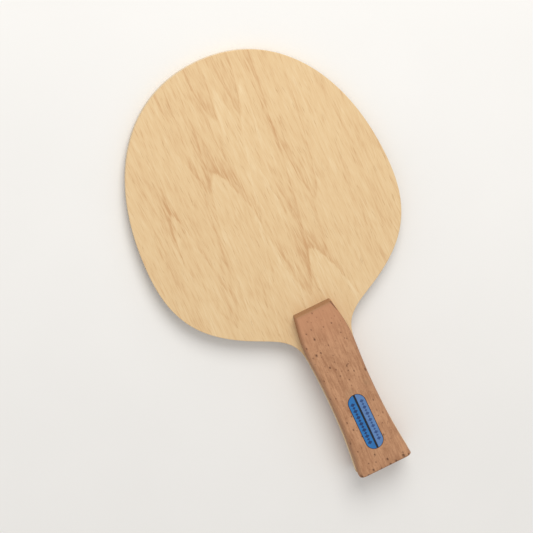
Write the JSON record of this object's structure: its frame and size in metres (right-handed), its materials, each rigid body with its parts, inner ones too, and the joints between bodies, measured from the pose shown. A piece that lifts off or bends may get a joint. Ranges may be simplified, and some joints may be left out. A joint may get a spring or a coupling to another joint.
{
  "type": "table tennis blade",
  "caption": "Bare table tennis blade: rounded head and tang laminated from thin wooden plies, flared cork grip scales on both faces and a small round-ended two-tone badge let into the front.",
  "frame": {"origin": "middle of the footprint, on the plane of the rear handle scale's flat back", "axes": "+X across the head, +Y along the blade from the butt to the tip, +Z out of the front face"},
  "size_m": [0.15, 0.257, 0.0238],
  "materials": {
    "face_veneer": "open-pored pale veneer, sanded, satin",
    "cross_ply": "sanded edge",
    "core_ply": "pale soft wood, sanded edge",
    "cork": "matt cork with dark pits and flecks",
    "badge_black": "gloss",
    "badge_deep_blue": "gloss",
    "badge_pale_blue": "satin gloss",
    "badge_adhesive": "soft film"
  },
  "bodies": {
    "root": {"rear_handle_scale": "cork", "rear_face_veneer": "face_veneer", "rear_cross_ply": "cross_ply", "core_ply": "core_ply", "front_cross_ply": "cross_ply", "front_face_veneer": "face_veneer", "front_handle_scale": "cork", "badge_adhesive": "badge_adhesive", "badge_base": "badge_black", "badge_inlay_left": "badge_deep_blue", "badge_inlay_right": "badge_pale_blue"}
  },
  "joints": []
}
